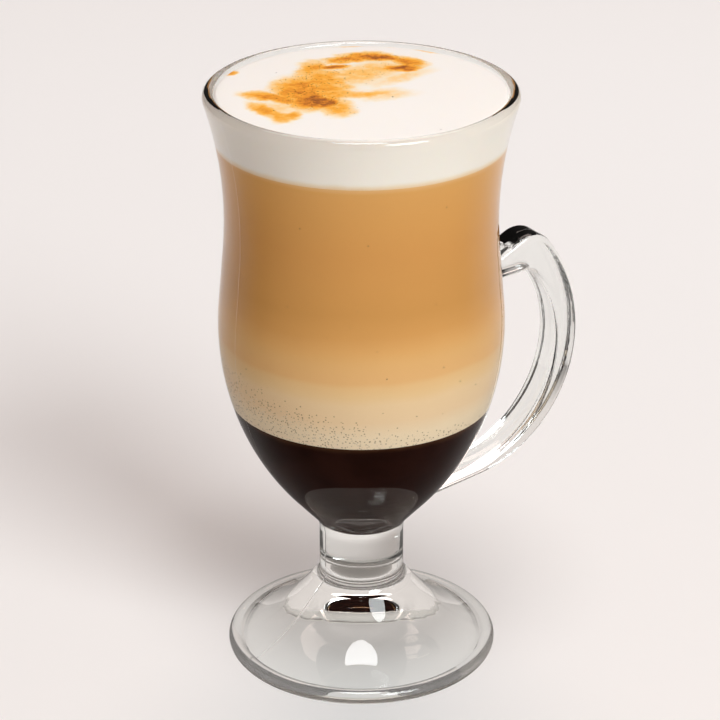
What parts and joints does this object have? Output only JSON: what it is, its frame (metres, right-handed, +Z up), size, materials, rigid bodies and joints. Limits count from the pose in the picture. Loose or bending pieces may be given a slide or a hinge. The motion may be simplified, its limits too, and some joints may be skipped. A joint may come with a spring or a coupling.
{
  "type": "mochaccino",
  "caption": "Layered chocolate, milk and coffee drink under milk foam, served in a clear footed glass mug with an ear-shaped handle.",
  "frame": {"origin": "middle of the ring that the foot stands on, on the table's plane", "axes": "+Z up through the bowl's centre; +X towards the handle; +Y completes the frame"},
  "size_m": [0.1008, 0.0762, 0.1507],
  "materials": {
    "clear_glass": "fire-polished clear soda-lime glass",
    "chocolate_sauce": "dark liquid chocolate, glossy",
    "warm_milk": "milk tinted by coffee, with fine bubbles at the glass",
    "milky_coffee": "milk and coffee, blended",
    "coffee_with_milk": "coffee with milk, amber brown",
    "foamed_milk": "fine wet milk foam, matt"
  },
  "bodies": {
    "root": {"glass_mug": "clear_glass", "chocolate": "chocolate_sauce", "milk": "warm_milk", "latte": "milky_coffee", "coffee": "coffee_with_milk", "milk_foam": "foamed_milk"}
  },
  "joints": []
}
